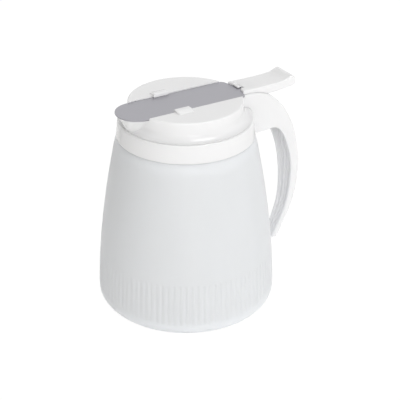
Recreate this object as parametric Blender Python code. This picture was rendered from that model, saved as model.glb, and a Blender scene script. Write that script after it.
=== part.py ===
"""A slide-gate syrup server: a ribbed jar, a lid with a spout and a screw collar, and a steel gate that a thumb
lever pulls back against a spring inside the handle. Metres, +Z up, spout towards -X, handle towards +X.
All heights are counted from the foot of the jar, and all plan positions from the jar's own axis."""

import math

import bmesh
import bpy
from mathutils import Vector

GAP = 0.0003  # between pieces that seat on each other
TURN_POINTS = 48  # points round a turned piece; the ribs need twice as many and then twice again

EDGE = 0.0010  # rounding of moulded edges

JAR_RADIUS = 0.0670
JAR_HEIGHT = 0.1316  # foot to shoulder, where the neck starts
JAR_BEND = 1.685  # power of the side's curve
JAR_WALL = 0.0020
FOOT_ROUND = 0.0070
FOOT_RING = 0.0050
FOOT_RECESS = 0.0025
SHOULDER_ROUND = 0.0024
SHOULDER_STEP = 0.0047  # shoulder beyond the neck
NECK_RADIUS = 0.0456
NECK_RISE = 0.0072
RIB_COUNT = 96
RIB_DEPTH = 0.0006
RIB_LOW = 0.0111
RIB_HIGH = 0.0408

GASKET_WIDTH = 0.0022
GASKET_HEIGHT = 0.0015

COLLAR_ROOM = 0.0006  # thread room between neck and collar
COLLAR_WALL = 0.0038
COLLAR_DRAFT = 0.0012
COLLAR_HEIGHT = 0.0129
COLLAR_LIP = 0.0020

LID_NECK_STEP = 0.0014  # the lid's neck inside the jar's
LID_STEP = 0.00305  # the disc's edge inside the lid's neck
LID_DRAFT = 0.00015
LID_RISE = 0.0133  # collar top to disc top
LID_WALL = 0.0025
LID_FLANGE_HEIGHT = 0.0016
COVE_RADIUS = 0.0061
COVE_RIM = 0.0006
CHANNEL_HALF = 0.0163
CHANNEL_DEPTH = 0.0020

SPOUT_INSET = 0.00315  # the spout's mouth centre inside the disc's edge
SPOUT_FOOT_INSET = 0.00135
SPOUT_LIP = 0.0018  # how far the gate covers the mouth's wall
SPOUT_FOOT_RADIUS = 0.0076
SPOUT_WALL = 0.0020
SPOUT_OVERRUN = 0.10  # share of the spout's height
PASSAGE_START = 0.16

LUG_FRONT_INSET = 0.02365
LUG_LENGTH = 0.0120
LUG_GRIP = 0.0016  # how far a lug reaches over the gate
LUG_WIDTH = 0.0076
LUG_RISE = 0.0017
LUG_SINK = 0.0012
LUG_ROUND = 0.0007
LUG_CREST = 0.0040

GATE_SHEET = 0.0008
GATE_OVERHANG = 0.00175  # the gate's rear edge beyond the disc's edge
TONGUE_HALF = 0.0060
TONGUE_LAP = 0.0030

KEEL_INSET = 0.0030  # the keel's front inside the collar's radius
KEEL_LENGTH = 0.0045
KEEL_HALF = 0.0027
KEEL_ROOT = 0.0005
GATE_TRAVEL = 0.0110

LEVER_HALF = 0.0105
LEVER_CHAMFER = 0.0012
LEVER_RISE = 0.0039  # the raised tip over the disc
LEVER_DROP = 0.0055  # the lowest underside below the disc
NOTCH_HALF = 0.0050
NOSE_FAR = 0.0044
NOSE_NEAR = 0.0032
NOSE_SHEET = 0.0011

HANDLE_HALF = 0.0110
HANDLE_WALL = 0.0022
HANDLE_RIB = 0.0010
HANDLE_ROUND = 0.0016
HANDLE_CLEAR = 0.0001  # below the channel's floor
HANDLE_ROOM = 0.0005  # between the flanks and the collar and jar
HANDLE_OUT = 0.0458  # reach beyond the collar
GRIP_OUT = 0.0287  # reach beyond the jar
WEB_DROP = 0.0219  # how far the web hangs below the collar's top
ROOF = 0.0066  # the handle's flat roof, counted down from the channel's floor
FRONT_WALL_RISE = 0.0022
FRONT_WALL = 0.0052
BOSS_LENGTH = 0.0067
BOSS_WIDTH = 0.0049
BOSS_SINK = 0.0035
SEAT_WALL = 0.0022

SPRING_DROP = 0.0085  # the spring's axis below the roof
SPRING_RADIUS = 0.0036
SPRING_WIRE = 0.0004
SPRING_TURNS = 6
NUB_RADIUS = 0.0022
NUB_LENGTH = 0.0026
FOLLOWER_HALF = 0.0038
FOLLOWER_FOOT = 0.0044  # below the spring's axis
FOLLOWER_SHELF = 0.0032
FOLLOWER_LEG = 0.0036
COLLAR_CLEAR = 0.0007

SCREW_Y = 0.0072
SCREW_RISE = 0.0007  # above the roof
SCREW_HEAD_RADIUS = 0.0026
SCREW_HEAD = 0.0014
SCREW_RADIUS = 0.0013
SCREW_LENGTH = 0.0100
KEEL_SCREW_LENGTH = 0.0065
SCREW_INLET = 0.00025

COLLAR_RADIUS = NECK_RADIUS + COLLAR_ROOM + COLLAR_WALL
JAR_TAPER = JAR_RADIUS - NECK_RADIUS - SHOULDER_STEP
LID_NECK = NECK_RADIUS - LID_NECK_STEP
LID_RADIUS = LID_NECK - LID_STEP
LID_EDGE = LID_RADIUS + LID_DRAFT
GATE_HALF = CHANNEL_HALF - GAP
GATE_FRONT_X = SPOUT_INSET - LID_RADIUS  # centre of the round front end, over the spout's mouth
GATE_REAR_RADIUS = LID_RADIUS + GATE_OVERHANG
LEVER_FRONT_RADIUS = GATE_REAR_RADIUS + GAP
KEEL_FRONT = COLLAR_RADIUS - KEEL_INSET
KEEL_REAR = KEEL_FRONT + KEEL_LENGTH
KEEL_MIDDLE = KEEL_FRONT + KEEL_LENGTH / 2
TONGUE_END = KEEL_REAR + TONGUE_LAP
NOTCH_REAR = KEEL_FRONT - 4 * GAP / 3
FRONT_WALL_REAR = LID_RADIUS + FRONT_WALL
SCREW_SEAT_X = LID_RADIUS - LID_WALL + SCREW_INLET
LEG_FRONT = COLLAR_RADIUS + COLLAR_CLEAR
LEG_REAR = LEG_FRONT + FOLLOWER_LEG
SPRING_SEAT = LEG_REAR + GATE_TRAVEL + 2 * NUB_LENGTH + GAP

RIM_Z = JAR_HEIGHT + NECK_RISE
COLLAR_LOW = JAR_HEIGHT + GAP
COLLAR_TOP = COLLAR_LOW + COLLAR_HEIGHT
FLANGE_LOW = RIM_Z + 2 * GAP + GASKET_HEIGHT
FLANGE_TOP = FLANGE_LOW + LID_FLANGE_HEIGHT
LID_TOP = COLLAR_TOP + LID_RISE
FLOOR_Z = LID_TOP - CHANNEL_DEPTH
GATE_LOW = FLOOR_Z + GAP
GATE_TOP = GATE_LOW + GATE_SHEET
HANDLE_RISE = FLOOR_Z - HANDLE_CLEAR - COLLAR_TOP
TOP_UNDERSIDE = FLOOR_Z - ROOF
FRONT_WALL_LOW = COLLAR_TOP + FRONT_WALL_RISE
SCREW_Z = TOP_UNDERSIDE + SCREW_RISE
SPRING_Z = TOP_UNDERSIDE - SPRING_DROP
FOLLOWER_LOW = SPRING_Z - FOLLOWER_FOOT

# The handle's stations, from the lid down to the tip. Beside the lid: outer and inner point as shares of the
# reach beyond the collar and of the rise above, or drop below, the collar's top.
LID_STATIONS = (
    (-0.229, 1.000, -0.229, -0.040),
    (0.050, 0.946, -0.044, -0.060),
    (0.295, 0.643, -0.030, -0.493),
    (0.480, 0.054, 0.050, -0.909),
    (0.635, -0.670, 0.175, -1.000),
    (0.769, -1.625, 0.467, -0.986),
)
# Along the grip: outer and inner point as shares of the reach beyond the jar and of the collar's height, and the
# share of the full width.
GRIP_STATIONS = (
    (0.819, 0.777, 0.469, 0.777, 0.99),
    (0.993, 0.604, 0.729, 0.604, 0.91),
    (0.931, 0.375, 0.708, 0.370, 0.66),
    (0.503, 0.156, 0.323, 0.166, 0.49),
)
RIBS_FROM = 4.4  # the inside ribs start below the spring's room, counted in stations
SOLID_FROM = 8.6  # the channel ends before the tip
STEPS = 3  # sections from one station to the next
# The lever's stations: shares of the reach beyond the collar, of the rise above the disc and of the drop below.
LEVER_STATIONS = (
    (-0.197, 0.256, 0.309),
    (0.044, 0.180, 0.418),
    (0.186, 0.180, 0.673),
    (0.328, 0.180, 1.000),
    (0.583, 0.360, 0.873),
    (0.745, 1.000, 0.691),
    (0.801, 0.564, 0.582),
)

WHITE = ("white_plastic", (0.90, 0.90, 0.89, 1), 0.32, 0.0)
JAR_PLASTIC = ("jar_plastic", (0.78, 0.80, 0.80, 1), 0.38, 0.0)
STEEL = ("steel", (0.58, 0.58, 0.60, 1), 0.28, 1.0)
SEAL = ("seal_rubber", (0.80, 0.79, 0.75, 1), 0.60, 0.0)


def material(look):
    name, colour, roughness, metallic = look
    found = bpy.data.materials.get(name)
    if found:
        return found
    made = bpy.data.materials.new(name)
    made.use_nodes = True
    shader = made.node_tree.nodes["Principled BSDF"]
    shader.inputs["Base Color"].default_value = colour
    shader.inputs["Roughness"].default_value = roughness
    shader.inputs["Metallic"].default_value = metallic
    made.diffuse_color = colour
    return made


def make(name, bm, look=WHITE):
    """One object from a bmesh, its faces turned outwards."""
    bmesh.ops.recalc_face_normals(bm, faces=bm.faces)
    mesh = bpy.data.meshes.new(name)
    bm.to_mesh(mesh)
    bm.free()
    mesh.materials.append(material(look))
    obj = bpy.data.objects.new(name, mesh)
    bpy.context.scene.collection.objects.link(obj)
    return obj


def combine(target, tool, operation):
    """A Boolean, applied, after which the tool object is gone."""
    step = target.modifiers.new(operation.lower(), "BOOLEAN")
    step.operation = operation
    step.solver = "EXACT"
    step.object = tool
    bpy.context.view_layer.update()
    shape = target.evaluated_get(bpy.context.evaluated_depsgraph_get())
    mesh = bpy.data.meshes.new_from_object(shape)
    target.modifiers.clear()
    target.data = mesh
    bpy.data.objects.remove(tool)


def cut(target, *tools):
    for tool in tools:
        combine(target, tool, "DIFFERENCE")


def join(target, *tools):
    for tool in tools:
        combine(target, tool, "UNION")


def row(bm, radius, z, count):
    """Points round the axis; a radius of None gives the one point on the axis."""
    if radius is None:
        return [bm.verts.new((0, 0, z))]
    points = []
    for i in range(count):
        angle = 2 * math.pi * i / count
        reach = radius(i) if callable(radius) else radius
        points.append(bm.verts.new((reach * math.cos(angle), reach * math.sin(angle), z)))
    return points


def stitch(bm, first, second):
    """Faces between two rows, of which one may have twice the other's points or a single point."""
    if len(first) > len(second):
        first, second = second, first
    count = len(first)
    if count == 1:
        for i in range(len(second)):
            bm.faces.new((first[0], second[i - 1], second[i]))
        return
    for i in range(count):
        here, after = first[i - 1], first[i]
        if len(second) == count:
            bm.faces.new((here, after, second[i], second[i - 1]))
            continue
        left, middle, right = second[2 * i - 2], second[2 * i - 1], second[2 * i % len(second)]
        bm.faces.new((here, left, middle))
        bm.faces.new((here, middle, after))
        bm.faces.new((after, middle, right))


def lathe(name, profile, look=WHITE, closed=False):
    """A turned solid from (radius, z, points) rows; closed joins the last row to the first."""
    bm = bmesh.new()
    rows = [row(bm, *each) for each in profile]
    for first, second in zip(rows, rows[1:]):
        stitch(bm, first, second)
    if closed:
        stitch(bm, rows[-1], rows[0])
    return make(name, bm, look)


def loft(name, sections, look=WHITE):
    """A solid through equal sections, with flat ends."""
    bm = bmesh.new()
    rows = [[bm.verts.new(point) for point in section] for section in sections]
    for first, second in zip(rows, rows[1:]):
        stitch(bm, first, second)
    bm.faces.new(rows[0])
    bm.faces.new(rows[-1])
    return make(name, bm, look)


def slab(name, outline, low, high, look=WHITE):
    """An (x, y) outline raised from low to high."""
    return loft(name, [[(x, y, z) for x, y in outline] for z in (low, high)], look)


def block(name, x, y, z, look=WHITE):
    outline = ((x[0], y[0]), (x[1], y[0]), (x[1], y[1]), (x[0], y[1]))
    return slab(name, outline, z[0], z[1], look)


def rod(name, start, stops, points, look=WHITE):
    """A turned bar from (distance, radius) stops along +X or +Z, given by the start's axis letter."""
    centre, axis = start
    sections = []
    for distance, radius in stops:
        section = []
        for i in range(points):
            angle = 2 * math.pi * (i + 0.5) / points
            side, rise = radius * math.cos(angle), radius * math.sin(angle)
            offset = Vector((distance, side, rise) if axis == "X" else (side, rise, distance))
            section.append(Vector(centre) + offset)
        sections.append(section)
    return loft(name, sections, look)


def arc(centre, radius, start, end, steps):
    """Points on a circle from one angle to the other, in degrees, both ends included."""
    points = []
    for i in range(steps + 1):
        angle = math.radians(start + (end - start) * i / steps)
        points.append((centre[0] + radius * math.cos(angle), centre[1] + radius * math.sin(angle)))
    return points


def smooth(values, place):
    """A value on the smooth curve through the given ones, at a place counted in steps between them."""
    last = len(values) - 1
    here = min(int(place), last - 1)
    t = place - here
    a, b, c, d = (values[max(0, min(last, here + k))] for k in (-1, 0, 1, 2))
    return b + 0.5 * t * (c - a + t * (2 * a - 5 * b + 4 * c - d + t * (3 * (b - c) + d - a)))


def jar_side(z):
    return JAR_RADIUS - JAR_TAPER * max(0.0, (z - FOOT_ROUND / 2) / (JAR_HEIGHT - FOOT_ROUND / 2)) ** JAR_BEND


def handle_stations():
    """Outer x and z, inner x and z, and half width of each station."""
    stations = []
    for out, rise, inwards, drop in LID_STATIONS:
        outer = (COLLAR_RADIUS + HANDLE_OUT * out, COLLAR_TOP + HANDLE_RISE * rise)
        inner = (COLLAR_RADIUS + HANDLE_OUT * inwards, COLLAR_TOP + WEB_DROP * drop)
        stations.append(outer + inner + (HANDLE_HALF,))
    for out, rise, inwards, drop, width in GRIP_STATIONS:
        outer = (JAR_RADIUS + GRIP_OUT * out, COLLAR_TOP * rise)
        stations.append(outer + (JAR_RADIUS + GRIP_OUT * inwards, COLLAR_TOP * drop, HANDLE_HALF * width))
    return list(zip(*stations))


HANDLE_LINES = handle_stations()
HANDLE_PLACES = [i / STEPS for i in range(STEPS * (len(HANDLE_LINES[0]) - 1) + 1)]
HANDLE_REACH = max(smooth(HANDLE_LINES[0], place) for place in HANDLE_PLACES)
AXIS_X = (JAR_RADIUS - HANDLE_REACH) / 2  # puts the footprint's middle at the origin


def handle_top(x):
    """Height of the handle's outer line at x, and its slope there."""
    places = [i / 20 for i in range(20 * len(LID_STATIONS))]
    line = [(smooth(HANDLE_LINES[0], place), smooth(HANDLE_LINES[1], place)) for place in places]
    for (x0, z0), (x1, z1) in zip(line, line[1:]):
        if x0 <= x <= x1:
            slope = (z1 - z0) / (x1 - x0)
            return z0 + slope * (x - x0), slope
    return line[-1][1], 0.0


def make_jar():
    low = FOOT_ROUND
    foot = arc((jar_side(low) - FOOT_ROUND, FOOT_ROUND), FOOT_ROUND, -90, 0, 4)
    land = foot[0][0] - FOOT_RING
    rows = [(None, FOOT_RECESS, 1), (land - FOOT_RECESS, FOOT_RECESS, TURN_POINTS), (land, 0.0, TURN_POINTS)]
    rows += [(radius, z, TURN_POINTS) for radius, z in foot]
    ease = 4 * RIB_DEPTH
    for z, ribbed in ((RIB_LOW - ease, 0), (RIB_LOW, 1), (RIB_HIGH, 1), (RIB_HIGH + ease, 0)):
        if ribbed:
            crests = (jar_side(z), jar_side(z) - RIB_DEPTH)
            rows.append((lambda i, crests=crests: crests[i % 2], z, 2 * RIB_COUNT))
        else:
            rows.append((jar_side(z), z, RIB_COUNT))
    top = JAR_HEIGHT - SHOULDER_ROUND
    for i in range(1, 6):
        z = RIB_HIGH + ease + (top - RIB_HIGH - ease) * i / 6
        rows.append((jar_side(z), z, TURN_POINTS))
    shoulder = arc((jar_side(top) - SHOULDER_ROUND, top), SHOULDER_ROUND, 0, 90, 3)
    rows += [(radius, z, TURN_POINTS) for radius, z in shoulder]
    rows += [(NECK_RADIUS, JAR_HEIGHT, TURN_POINTS), (NECK_RADIUS, RIM_Z, TURN_POINTS)]
    bore = NECK_RADIUS - JAR_WALL
    rows += [(bore, RIM_Z, TURN_POINTS), (bore, JAR_HEIGHT - JAR_WALL, TURN_POINTS)]
    inside = [top - SHOULDER_ROUND - top * i / 5 for i in range(4)] + [FOOT_ROUND + RIB_DEPTH]
    rows += [(jar_side(z) - JAR_WALL - RIB_DEPTH, z, TURN_POINTS) for z in inside]
    floor = FOOT_RECESS + JAR_WALL
    rows += [(land, floor, TURN_POINTS), (None, floor, 1)]
    return lathe("jar", rows, JAR_PLASTIC)


def make_gasket():
    outer = NECK_RADIUS - GAP
    low = RIM_Z + GAP
    inner = outer - GASKET_WIDTH
    ring = [(outer, low), (outer, low + GASKET_HEIGHT), (inner, low + GASKET_HEIGHT), (inner, low)]
    return lathe("jar_gasket", [(radius, z, TURN_POINTS) for radius, z in ring], SEAL, closed=True)


def make_collar():
    bore = NECK_RADIUS + COLLAR_ROOM
    lip = LID_NECK + GAP
    top_radius = COLLAR_RADIUS - COLLAR_DRAFT
    ease = COLLAR_LIP / 2
    ring = [
        (bore, COLLAR_LOW),
        (COLLAR_RADIUS - ease / 3, COLLAR_LOW),
        (COLLAR_RADIUS, COLLAR_LOW + ease / 3),
        (top_radius, COLLAR_TOP - ease),
        (top_radius - 0.3 * ease, COLLAR_TOP - 0.3 * ease),
        (top_radius - ease, COLLAR_TOP),
        (lip, COLLAR_TOP),
        (lip, COLLAR_TOP - COLLAR_LIP),
        (bore, COLLAR_TOP - COLLAR_LIP),
    ]
    return lathe("screw_collar", [(radius, z, TURN_POINTS) for radius, z in ring], closed=True)


def lid_outside(offset):
    """The lid's outer line from the cove's foot up to the disc's edge, moved outwards by offset."""
    foot = COLLAR_TOP + GAP
    wall = LID_EDGE
    centre = (wall + COVE_RADIUS, foot + COVE_RIM + COVE_RADIUS)
    line = [(centre[0] + offset, foot)]
    line += arc(centre, COVE_RADIUS - offset, 270, 180, 6)
    line += arc((LID_RADIUS - EDGE, LID_TOP - EDGE), EDGE + offset, 0, 90, 3)
    return line


def make_lid():
    ceiling = FLOOR_Z - LID_WALL
    inner = LID_RADIUS - LID_WALL
    plug = LID_NECK - LID_WALL
    flange = NECK_RADIUS - GAP
    line = [(plug, FLANGE_LOW), (flange, FLANGE_LOW), (flange, FLANGE_TOP), (LID_NECK, FLANGE_TOP)]
    line.append((LID_NECK, COLLAR_TOP + GAP))
    line += lid_outside(0.0)
    rows = [(None, ceiling, 1), (inner - EDGE, ceiling, TURN_POINTS), (inner, ceiling - EDGE, TURN_POINTS)]
    rows += [(inner, COLLAR_TOP + COVE_RADIUS, TURN_POINTS), (plug, COLLAR_TOP + COVE_RIM, TURN_POINTS)]
    rows += [(radius, z, TURN_POINTS) for radius, z in line]
    rows.append((None, LID_TOP, 1))
    lid = lathe("lid_body", rows)
    foot = (SPOUT_FOOT_INSET - LID_RADIUS, SPOUT_FOOT_RADIUS, COLLAR_TOP + 2 * GAP)
    mouth = (GATE_FRONT_X, GATE_HALF - SPOUT_LIP, FLOOR_Z)
    join(lid, make_cone("spout", (foot, mouth), 0.0, (0.0, SPOUT_OVERRUN)))
    width = (-CHANNEL_HALF, CHANNEL_HALF)
    cut(lid, block("channel", (-2 * LID_RADIUS, 2 * LID_RADIUS), width, (FLOOR_Z, LID_TOP + LID_RISE)))
    for side in (1, -1):
        join(lid, make_lug(side))
    cut(lid, make_cone("passage", (foot, mouth), SPOUT_WALL, (PASSAGE_START, SPOUT_OVERRUN)))
    start = SCREW_SEAT_X - 2 * LID_WALL
    for side in (1, -1):
        centre = (start, side * SCREW_Y, SCREW_Z)
        head = SCREW_HEAD_RADIUS + GAP
        cut(lid, rod("head_seat", (centre, "X"), ((0.0, head), (2 * LID_WALL, head)), 16))
        shank = SCREW_RADIUS + GAP
        cut(lid, rod("screw_way", (centre, "X"), ((0.0, shank), (3 * LID_WALL + SCREW_LENGTH, shank)), 12))
    return lid


def make_lug(side):
    """A lug that stands on the disc and reaches over the gate's edge, sunk a little into the channel's wall."""
    inner = CHANNEL_HALF - LUG_GRIP - GAP
    wall = CHANNEL_HALF + 2 * GAP
    outer = inner + LUG_WIDTH
    under = GATE_TOP + GAP
    line = [(inner, under), (wall, under), (wall, LID_TOP - LUG_SINK), (outer, LID_TOP - LUG_SINK)]
    crest = LID_TOP + LUG_RISE
    line += [(outer, LID_TOP + GAP), (inner + LUG_CREST, crest)]
    line += [(inner + LUG_ROUND, crest), (inner, crest - LUG_ROUND)]
    front = LUG_FRONT_INSET - LID_RADIUS
    rear = front + LUG_LENGTH
    middle = (inner + LUG_WIDTH / 2, (under + crest) / 2)
    ends = []
    for x, share in ((front, 0.8), (front + LUG_ROUND, 1.0), (rear - LUG_ROUND, 1.0), (rear, 0.8)):
        end = []
        for y, z in line:
            height = min(z, middle[1] + (z - middle[1]) * share)
            end.append((x, side * (middle[0] + (y - middle[0]) * share), height))
        ends.append(end)
    return loft("lug", ends)


def make_cone(name, rims, inset, beyond):
    """The spout's leaning cone, set in by inset and run past each rim by a part of its height."""
    (foot_x, foot_radius, foot_z), (top_x, top_radius, top_z) = rims
    sections = []
    for part in (beyond[0], 1.0 + beyond[1]):
        centre_x = foot_x + (top_x - foot_x) * part
        radius = foot_radius + (top_radius - foot_radius) * part - inset
        z = foot_z + (top_z - foot_z) * part
        sections.append([(x, y, z) for x, y in arc((centre_x, 0.0), radius, 0, 350, 35)])
    return loft(name, sections)


def make_gate():
    rear = math.asin(GATE_HALF / GATE_REAR_RADIUS)
    tongue = math.asin(TONGUE_HALF / GATE_REAR_RADIUS)
    outline = arc((GATE_FRONT_X, 0.0), GATE_HALF, 90, 270, 20)
    outline += arc((0.0, 0.0), GATE_REAR_RADIUS, -math.degrees(rear), -math.degrees(tongue), 4)
    ease = TONGUE_HALF / 4
    outline += [(TONGUE_END - ease, -TONGUE_HALF), (TONGUE_END, ease - TONGUE_HALF)]
    outline += [(TONGUE_END, TONGUE_HALF - ease), (TONGUE_END - ease, TONGUE_HALF)]
    outline += arc((0.0, 0.0), GATE_REAR_RADIUS, math.degrees(tongue), math.degrees(rear), 4)
    gate = slab("cutoff_slide", outline, GATE_LOW, GATE_TOP, STEEL)
    side = KEEL_HALF + GAP
    length = (KEEL_FRONT - GAP, KEEL_REAR + GAP)
    cut(gate, block("window", length, (-side, side), (GATE_LOW - GATE_SHEET, GATE_TOP + GATE_SHEET)))
    return gate


def make_lever():
    outs, rises, drops = zip(*LEVER_STATIONS)
    sections = []
    for i in range(STEPS * (len(LEVER_STATIONS) - 1) + 1):
        x = COLLAR_RADIUS + HANDLE_OUT * smooth(outs, i / STEPS)
        top = LID_TOP + LEVER_RISE * smooth(rises, i / STEPS)
        under = LID_TOP - LEVER_DROP * smooth(drops, i / STEPS)
        half, ease = LEVER_HALF, LEVER_CHAMFER
        right = [(half, under), (half, top - ease), (half - 0.3 * ease, top - 0.3 * ease), (half - ease, top)]
        left = [(-y, z) for y, z in reversed(right)]
        sections.append([(x, y, z) for y, z in right + left])
    lever = loft("thumb_lever", sections)
    low, high = TOP_UNDERSIDE, LID_TOP + LID_RISE
    front = arc((0.0, 0.0), LEVER_FRONT_RADIUS, 0, 355, 71)
    cut(lever, slab("front_arc", front, low, high))
    recess = TONGUE_HALF + GAP
    shelf = GATE_TOP + GAP
    cut(lever, block("recess", (0.0, TONGUE_END + GAP), (-recess, recess), (low, shelf)))
    cut(lever, block("notch", (0.0, NOTCH_REAR), (-NOTCH_HALF, NOTCH_HALF), (low, high)))
    length = (LEVER_FRONT_RADIUS - 2 * GAP, NOTCH_REAR + EDGE)
    nose = block("nose", length, (-NOSE_NEAR, NOSE_FAR), (shelf, shelf + NOSE_SHEET))
    keel = block("keel", (KEEL_FRONT, KEEL_REAR), (-KEEL_HALF, KEEL_HALF), (TOP_UNDERSIDE, shelf + KEEL_ROOT))
    join(lever, nose, keel)
    centre = (KEEL_MIDDLE, 0.0, TOP_UNDERSIDE - EDGE)
    cut(lever, rod("pilot", (centre, "Z"), ((0.0, SCREW_RADIUS), (KEEL_SCREW_LENGTH, SCREW_RADIUS)), 12))
    return lever


def follower_levels():
    top = TOP_UNDERSIDE - GAP
    return top, top - FOLLOWER_SHELF


def make_follower():
    """The shelf under the keel and the leg behind the collar, sloped to clear the roof at full travel."""
    top, shelf = follower_levels()
    height, slope = handle_top(LEG_REAR + GATE_TRAVEL)
    crown = min(top, height - HANDLE_WALL * math.hypot(1.0, slope) - 2 * GAP)
    line = ((KEEL_FRONT, shelf), (LEG_FRONT, shelf), (LEG_FRONT, FOLLOWER_LOW), (LEG_REAR, FOLLOWER_LOW))
    line += ((LEG_REAR, crown), (LEG_FRONT, top), (KEEL_FRONT, top))
    ends = [[(x, y, z) for x, z in line] for y in (-FOLLOWER_HALF, FOLLOWER_HALF)]
    follower = loft("spring_follower", ends)
    stops = ((0.0, NUB_RADIUS), (EDGE + 0.75 * NUB_LENGTH, NUB_RADIUS), (EDGE + NUB_LENGTH, 0.7 * NUB_RADIUS))
    join(follower, rod("nub", ((LEG_REAR - EDGE, 0.0, SPRING_Z), "X"), stops, 12))
    centre = (KEEL_MIDDLE, 0.0, shelf - EDGE)
    through = EDGE + 2 * FOLLOWER_SHELF
    cut(follower, rod("way", (centre, "Z"), ((0.0, SCREW_RADIUS), (through, SCREW_RADIUS)), 12))
    head = KEEL_HALF - 2 * GAP
    cut(follower, rod("head_seat", (centre, "Z"), ((0.0, head), (EDGE + SCREW_HEAD, head)), 16))
    return follower


def make_follower_screw():
    top, shelf = follower_levels()
    shank = SCREW_RADIUS - GAP
    head = KEEL_HALF - 3 * GAP
    centre = (KEEL_MIDDLE, 0.0, shelf + GAP)
    neck = SCREW_HEAD - 2 * GAP
    stops = ((0.0, head * 0.9), (neck * 0.3, head), (neck, head), (neck, shank), (KEEL_SCREW_LENGTH, shank))
    return rod("follower_screw", (centre, "Z"), stops, 12, STEEL)


def make_handle_screw(number, side):
    centre = (SCREW_SEAT_X - GAP - SCREW_HEAD, side * SCREW_Y, SCREW_Z)
    head = SCREW_HEAD_RADIUS
    stops = ((0.0, head * 0.75), (SCREW_HEAD * 0.5, head), (SCREW_HEAD, head), (SCREW_HEAD, SCREW_RADIUS))
    stops += ((SCREW_HEAD + SCREW_LENGTH, SCREW_RADIUS),)
    return rod(f"handle_screw_{number}", (centre, "X"), stops, 12, STEEL)


def handle_section(place):
    outer_x, outer_z, inner_x, inner_z, half = (smooth(line, place) for line in HANDLE_LINES)
    outer, inner = Vector((outer_x, outer_z)), Vector((inner_x, inner_z))
    inwards = (inner - outer).normalized()
    depth = (inner - outer).length
    wall, ease = HANDLE_WALL, HANDLE_ROUND
    floor = max(wall, (outer_z - TOP_UNDERSIDE) / max(0.3, -inwards.y))
    if place > SOLID_FROM:
        floor = depth - 2 * GAP
    rib = min(HANDLE_RIB, 0.5 * (depth - floor)) if place > RIBS_FROM else GAP / 5
    inside = half - wall
    path = [(depth, half), (ease, half), (0.3 * ease, half - 0.3 * ease), (0.0, half - ease)]
    path += [(0.0, ease - half), (0.3 * ease, 0.3 * ease - half), (ease, -half), (depth, -half)]
    path += [(depth, -inside), (floor, -inside)]
    for y in (-0.36, 0.36):
        path += [(floor, (y - 0.1) * inside), (floor + rib, (y - 0.05) * inside)]
        path += [(floor + rib, (y + 0.05) * inside), (floor, (y + 0.1) * inside)]
    path += [(floor, inside), (depth, inside)]
    section = []
    for distance, y in path:
        spot = outer + inwards * distance
        section.append(Vector((spot.x, y, spot.y)))
    return section


def rounded_tip(before, last):
    """A last section a little further on and smaller, so that the tip isn't cut off square."""
    middle = sum(last, Vector()) / len(last)
    onwards = (middle - sum(before, Vector()) / len(before)).normalized() * EDGE
    return [middle + onwards + (point - middle) * 0.7 for point in last]


def make_handle():
    sections = [handle_section(place) for place in HANDLE_PLACES]
    sections.append(rounded_tip(sections[-2], sections[-1]))
    handle = loft("handle_shell", sections)
    inside = HANDLE_HALF - HANDLE_WALL / 2
    depth = (LID_RADIUS - LID_WALL / 2, FRONT_WALL_REAR)
    join(handle, block("front_wall", depth, (-inside, inside), (FRONT_WALL_LOW, SCREW_Z + BOSS_SINK)))
    for side in (1, -1):
        width = sorted((side * (SCREW_Y - BOSS_WIDTH / 2), side * (SCREW_Y + BOSS_WIDTH / 2)))
        depth = (FRONT_WALL_REAR - HANDLE_WALL, FRONT_WALL_REAR + BOSS_LENGTH)
        join(handle, block("boss", depth, width, (FRONT_WALL_LOW + GAP, TOP_UNDERSIDE + BOSS_SINK)))
    tops = [(x, handle_top(x)[0] - 0.75 * HANDLE_WALL) for x in (SPRING_SEAT + SEAT_WALL, SPRING_SEAT)]
    seat = [(SPRING_SEAT, FOLLOWER_LOW), (SPRING_SEAT + SEAT_WALL, FOLLOWER_LOW)] + tops
    join(handle, loft("seat", [[(x, y, z) for x, z in seat] for y in (-inside, inside)]))
    stops = ((0.0, 0.7 * NUB_RADIUS), (0.25 * NUB_LENGTH, NUB_RADIUS), (NUB_LENGTH + EDGE, NUB_RADIUS))
    join(handle, rod("seat_nub", ((SPRING_SEAT - NUB_LENGTH, 0.0, SPRING_Z), "X"), stops, 12))
    low, high = COLLAR_LOW - COLLAR_HEIGHT, LID_TOP + LID_RISE
    rows = [(None, low, 1)]
    for i in range(STEPS + 1):
        z = low + (JAR_HEIGHT - SHOULDER_ROUND - low) * i / STEPS
        rows.append((jar_side(z) + HANDLE_ROOM, z, 96))
    rows.append((COLLAR_RADIUS + HANDLE_ROOM, COLLAR_LOW, 96))
    rows.append((COLLAR_RADIUS - COLLAR_DRAFT + HANDLE_ROOM, COLLAR_TOP + GAP, 96))
    rows += [(radius, z, 96) for radius, z in lid_outside(GAP)[1:-3]]
    rows += [(LID_EDGE + GAP, high, 96), (None, high, 1)]
    cut(handle, lathe("lid_room", rows))
    side = KEEL_HALF + 2 * GAP
    slot = (KEEL_FRONT - GAP, KEEL_REAR + GATE_TRAVEL + 2 * GAP)
    cut(handle, block("slot", slot, (-side, side), (TOP_UNDERSIDE - EDGE, high)))
    shank = SCREW_RADIUS + GAP
    for side in (1, -1):
        centre = (SCREW_SEAT_X, side * SCREW_Y, SCREW_Z)
        cut(handle, rod("screw_way", (centre, "X"), ((0.0, shank), (SCREW_LENGTH + EDGE, shank)), 12))
    return handle


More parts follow.
